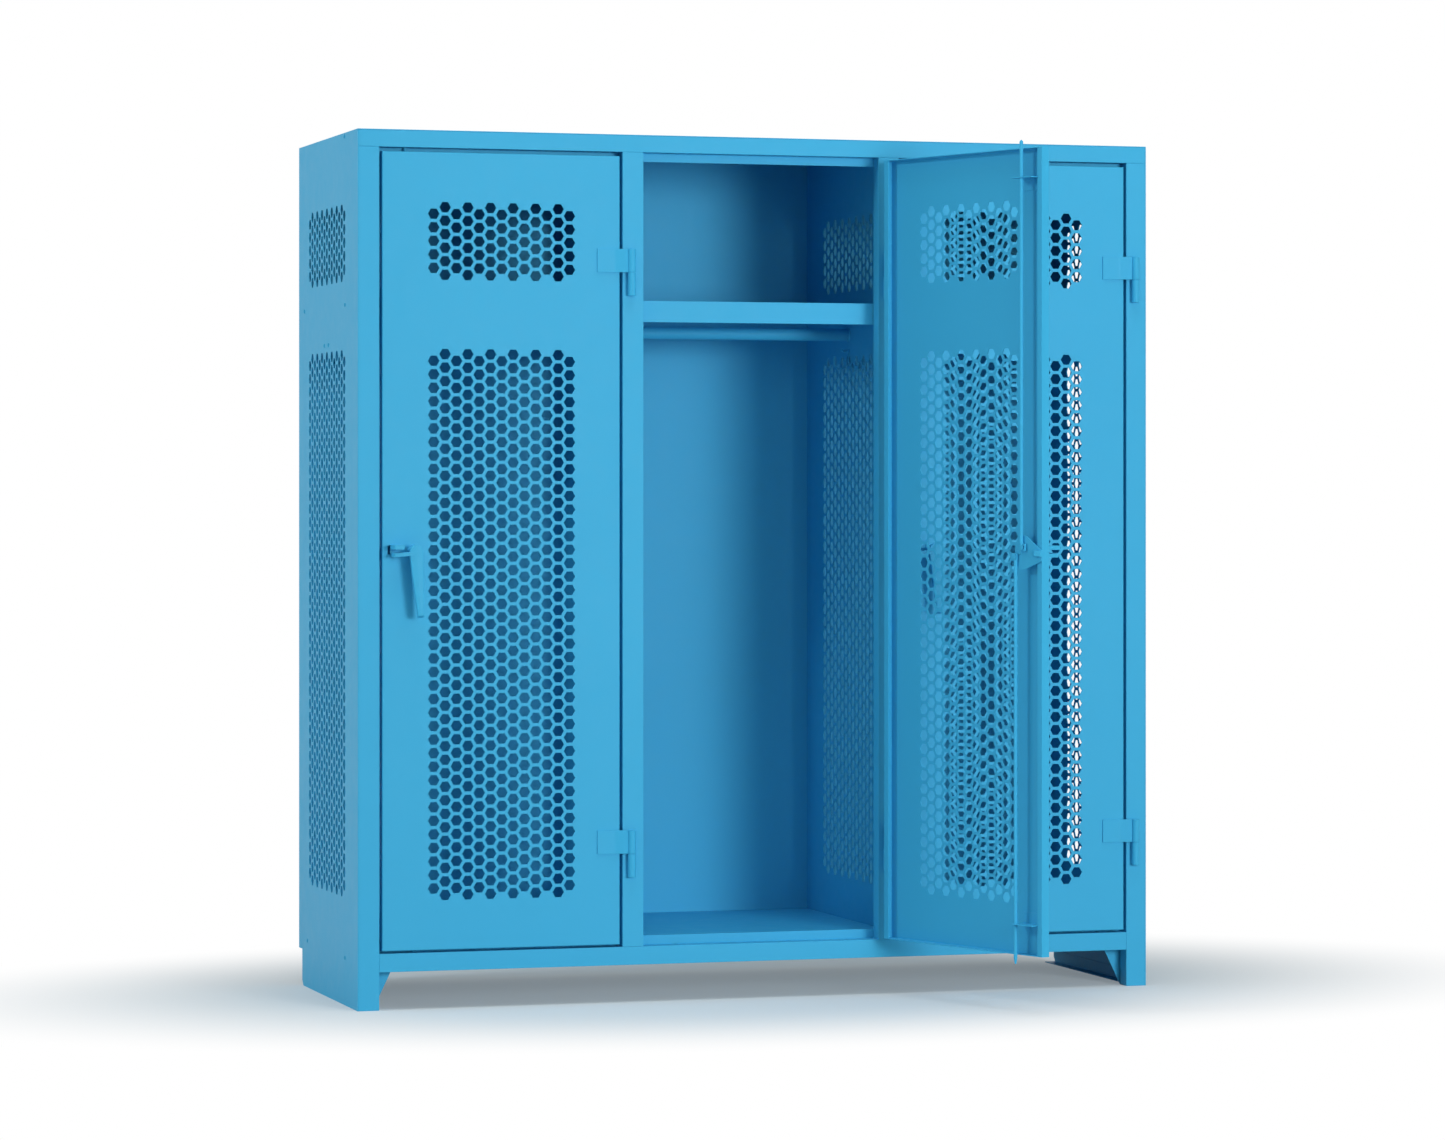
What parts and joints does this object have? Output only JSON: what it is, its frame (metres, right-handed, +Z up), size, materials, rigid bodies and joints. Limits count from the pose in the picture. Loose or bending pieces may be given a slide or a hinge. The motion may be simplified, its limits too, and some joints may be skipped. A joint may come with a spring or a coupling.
{
  "type": "ventilated locker",
  "caption": "Steel locker with hexagon-vented swing doors, sides and dividers, each bay with a shelf, coat rod, double hooks and a turn handle that drives two lock rods.",
  "frame": {"origin": "on the floor at the middle of the case's footprint, between the four anchor holes", "axes": "+X to the right seen from the front, +Y to the back, +Z up"},
  "size_m": [1.8288, 1.161, 1.905],
  "materials": {
    "blue_powder_coat": "satin powder coat"
  },
  "bodies": {
    "case": {"left_side_panel": "blue_powder_coat", "right_side_panel": "blue_powder_coat", "left_divider": "blue_powder_coat", "right_divider": "blue_powder_coat", "left_post": "blue_powder_coat", "right_post": "blue_powder_coat", "left_mullion": "blue_powder_coat", "right_mullion": "blue_powder_coat", "header": "blue_powder_coat", "upper_stops": "blue_powder_coat", "bottom_rail": "blue_powder_coat", "lower_stops": "blue_powder_coat", "top_panel": "blue_powder_coat", "back_panel": "blue_powder_coat", "floor_panel": "blue_powder_coat", "leg_gussets": "blue_powder_coat", "left_foot_angle": "blue_powder_coat", "right_foot_angle": "blue_powder_coat", "coat_hooks": "blue_powder_coat", "left_shelf": "blue_powder_coat", "left_coat_rod": "blue_powder_coat", "left_frame_knuckles": "blue_powder_coat", "middle_shelf": "blue_powder_coat", "middle_coat_rod": "blue_powder_coat", "middle_frame_knuckles": "blue_powder_coat", "right_shelf": "blue_powder_coat", "right_coat_rod": "blue_powder_coat", "right_frame_knuckles": "blue_powder_coat"},
    "left_door": {"left_door_panel": "blue_powder_coat", "left_hinge_leaves": "blue_powder_coat", "left_padlock_lug": "blue_powder_coat", "left_rod_guides": "blue_powder_coat"},
    "left_handle": {"left_lever_handle": "blue_powder_coat", "left_lock_spindle": "blue_powder_coat", "left_lock_cam": "blue_powder_coat", "left_cam_screw": "blue_powder_coat"},
    "left_top_rod": {"left_top_rod": "blue_powder_coat"},
    "left_bottom_rod": {"left_bottom_rod": "blue_powder_coat"},
    "middle_door": {"middle_door_panel": "blue_powder_coat", "middle_hinge_leaves": "blue_powder_coat", "middle_padlock_lug": "blue_powder_coat", "middle_rod_guides": "blue_powder_coat"},
    "middle_handle": {"middle_lever_handle": "blue_powder_coat", "middle_lock_spindle": "blue_powder_coat", "middle_lock_cam": "blue_powder_coat", "middle_cam_screw": "blue_powder_coat"},
    "middle_top_rod": {"middle_top_rod": "blue_powder_coat"},
    "middle_bottom_rod": {"middle_bottom_rod": "blue_powder_coat"},
    "right_door": {"right_door_panel": "blue_powder_coat", "right_hinge_leaves": "blue_powder_coat", "right_padlock_lug": "blue_powder_coat", "right_rod_guides": "blue_powder_coat"},
    "right_handle": {"right_lever_handle": "blue_powder_coat", "right_lock_spindle": "blue_powder_coat", "right_lock_cam": "blue_powder_coat", "right_cam_screw": "blue_powder_coat"},
    "right_top_rod": {"right_top_rod": "blue_powder_coat"},
    "right_bottom_rod": {"right_bottom_rod": "blue_powder_coat"}
  },
  "joints": [
    {"name": "left_door_hinge", "type": "hinge", "parent": "case", "child": "left_door", "pos_m": [-0.30202, -0.31395, 0.9525], "axis": [0, 0, 1], "range_deg": [0, 120]},
    {"name": "left_handle_turn", "type": "hinge", "parent": "left_door", "child": "left_handle", "pos_m": [-0.79392, -0.3048, 0.9915], "axis": [0, -1, 0], "range_deg": [-4, 86]},
    {"name": "left_top_rod_slide", "type": "slide", "parent": "left_door", "child": "left_top_rod", "axis": [0, 0, 1], "range_m": [-0.02167, 0.00106]},
    {"name": "left_bottom_rod_slide", "type": "slide", "parent": "left_door", "child": "left_bottom_rod", "axis": [0, 0, 1], "range_m": [-0.00106, 0.02167]},
    {"name": "middle_door_hinge", "type": "hinge", "parent": "case", "child": "middle_door", "pos_m": [0.2917, -0.31395, 0.9525], "axis": [0, 0, 1], "range_deg": [-110, 10]},
    {"name": "middle_handle_turn", "type": "hinge", "parent": "middle_door", "child": "middle_handle", "pos_m": [0.45134, -0.77931, 0.9915], "axis": [0.9397, 0.342, 0], "range_deg": [-4, 86]},
    {"name": "middle_top_rod_slide", "type": "slide", "parent": "middle_door", "child": "middle_top_rod", "axis": [0, 0, 1], "range_m": [-0.02167, 0.00106]},
    {"name": "middle_bottom_rod_slide", "type": "slide", "parent": "middle_door", "child": "middle_bottom_rod", "axis": [0, 0, 1], "range_m": [-0.00106, 0.02167]},
    {"name": "right_door_hinge", "type": "hinge", "parent": "case", "child": "right_door", "pos_m": [0.88543, -0.31395, 0.9525], "axis": [0, 0, 1], "range_deg": [0, 120]},
    {"name": "right_handle_turn", "type": "hinge", "parent": "right_door", "child": "right_handle", "pos_m": [0.39353, -0.3048, 0.9915], "axis": [0, -1, 0], "range_deg": [-4, 86]},
    {"name": "right_top_rod_slide", "type": "slide", "parent": "right_door", "child": "right_top_rod", "axis": [0, 0, 1], "range_m": [-0.02167, 0.00106]},
    {"name": "right_bottom_rod_slide", "type": "slide", "parent": "right_door", "child": "right_bottom_rod", "axis": [0, 0, 1], "range_m": [-0.00106, 0.02167]}
  ],
  "couplings": [
    {"joint": "left_top_rod_slide", "follows": "left_handle_turn", "m_per_rad": -0.014405},
    {"joint": "left_bottom_rod_slide", "follows": "left_handle_turn", "m_per_rad": 0.014405},
    {"joint": "middle_top_rod_slide", "follows": "middle_handle_turn", "m_per_rad": -0.014405},
    {"joint": "middle_bottom_rod_slide", "follows": "middle_handle_turn", "m_per_rad": 0.014405},
    {"joint": "right_top_rod_slide", "follows": "right_handle_turn", "m_per_rad": -0.014405},
    {"joint": "right_bottom_rod_slide", "follows": "right_handle_turn", "m_per_rad": 0.014405}
  ]
}
